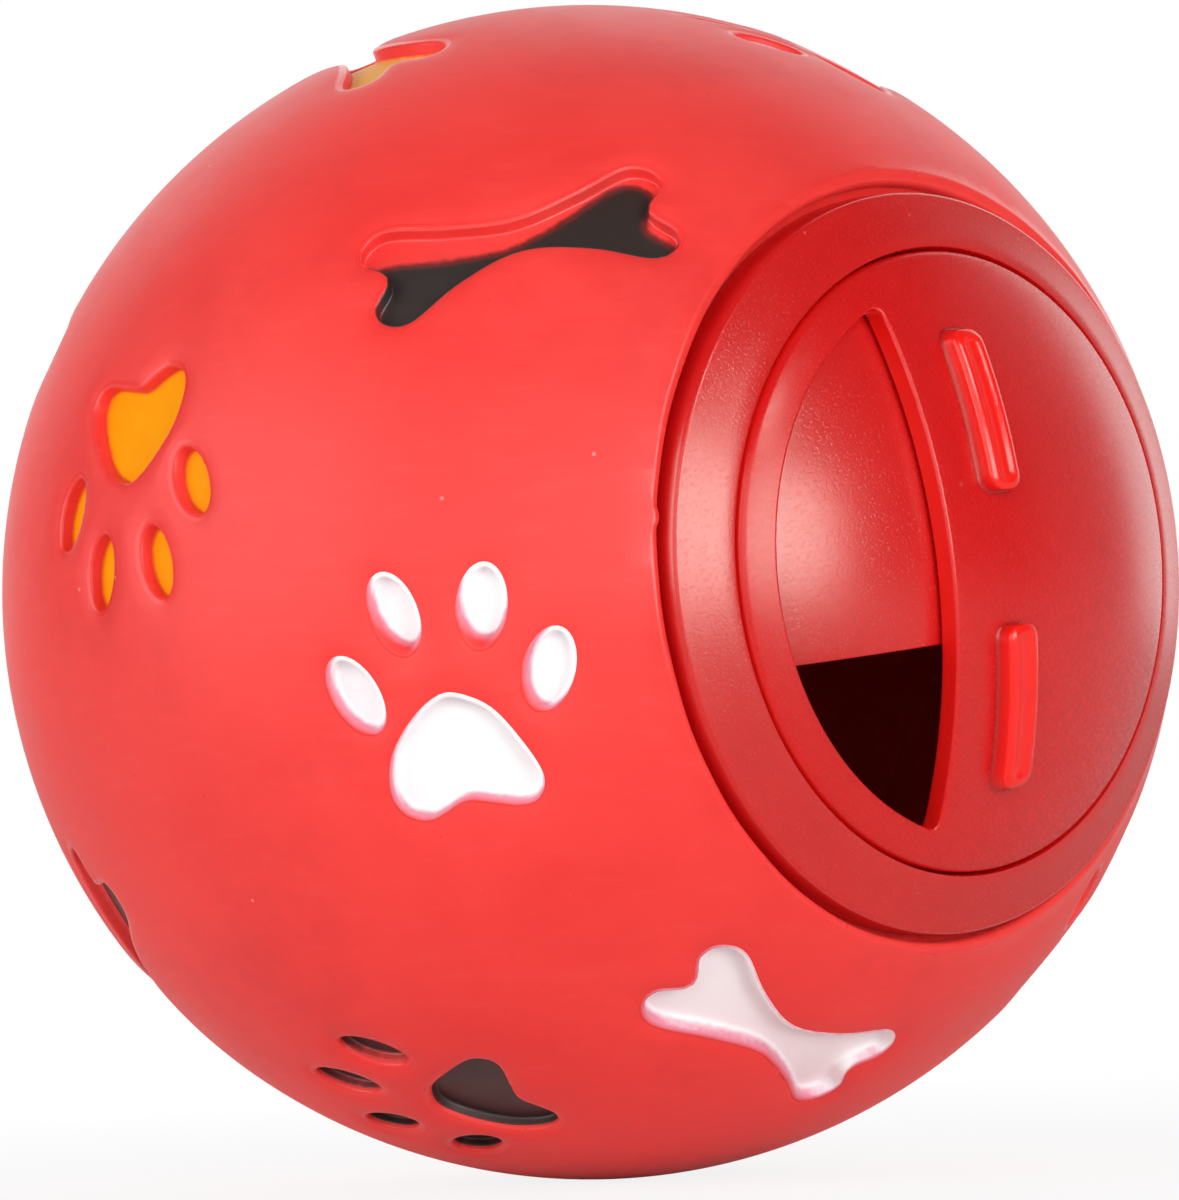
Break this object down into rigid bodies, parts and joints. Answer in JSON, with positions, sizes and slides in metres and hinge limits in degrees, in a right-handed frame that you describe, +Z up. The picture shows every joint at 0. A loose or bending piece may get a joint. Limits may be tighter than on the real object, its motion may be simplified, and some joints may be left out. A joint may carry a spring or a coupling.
{
  "type": "treat dispensing ball",
  "caption": "Hollow rubber ball with sunk paw and bone motifs and a plastic insert whose turning dial sets how freely treats fall out of its half-moon windows.",
  "frame": {"origin": "centre of the ball", "axes": "-Y out of the dial along the axis it turns on, +Z up as the ball lies in the picture, +X to the right of somebody who faces the dial"},
  "size_m": [0.075, 0.0757, 0.075],
  "materials": {
    "rubber": "soft satin rubber, faintly mottled",
    "spark_plastic": "coarse spark texture",
    "smooth_plastic": "fine matt",
    "white_paint": "satin paint",
    "orange_paint": "satin paint",
    "black_paint": "satin paint"
  },
  "bodies": {
    "ball": {"ball_shell": "rubber", "insert": "spark_plastic", "white_paw_front": "white_paint", "orange_paw_left": "orange_paint", "black_bone_upper": "black_paint", "white_bone_lower": "white_paint", "black_paw_lower": "black_paint", "orange_bone_top": "orange_paint", "white_paw_top_right": "white_paint", "black_bone_rear_left": "black_paint", "orange_paw_lower_right": "orange_paint", "white_bone_bottom": "white_paint", "black_paw_right": "black_paint", "white_bone_upper_rear": "white_paint", "orange_paw_bottom_rear": "orange_paint", "white_paw_rear": "white_paint", "black_bone_lower_rear": "black_paint", "black_paw_side": "black_paint", "orange_paw_rear_right": "orange_paint", "black_paw_upper_rear": "black_paint", "white_bone_rear_left": "white_paint"},
    "dial": {"dial": "smooth_plastic"}
  },
  "joints": [
    {"name": "dial_turn", "type": "hinge", "parent": "ball", "child": "dial", "pos_m": [0, -0.034, 0], "axis": [0, -1, 0], "continuous": true}
  ]
}
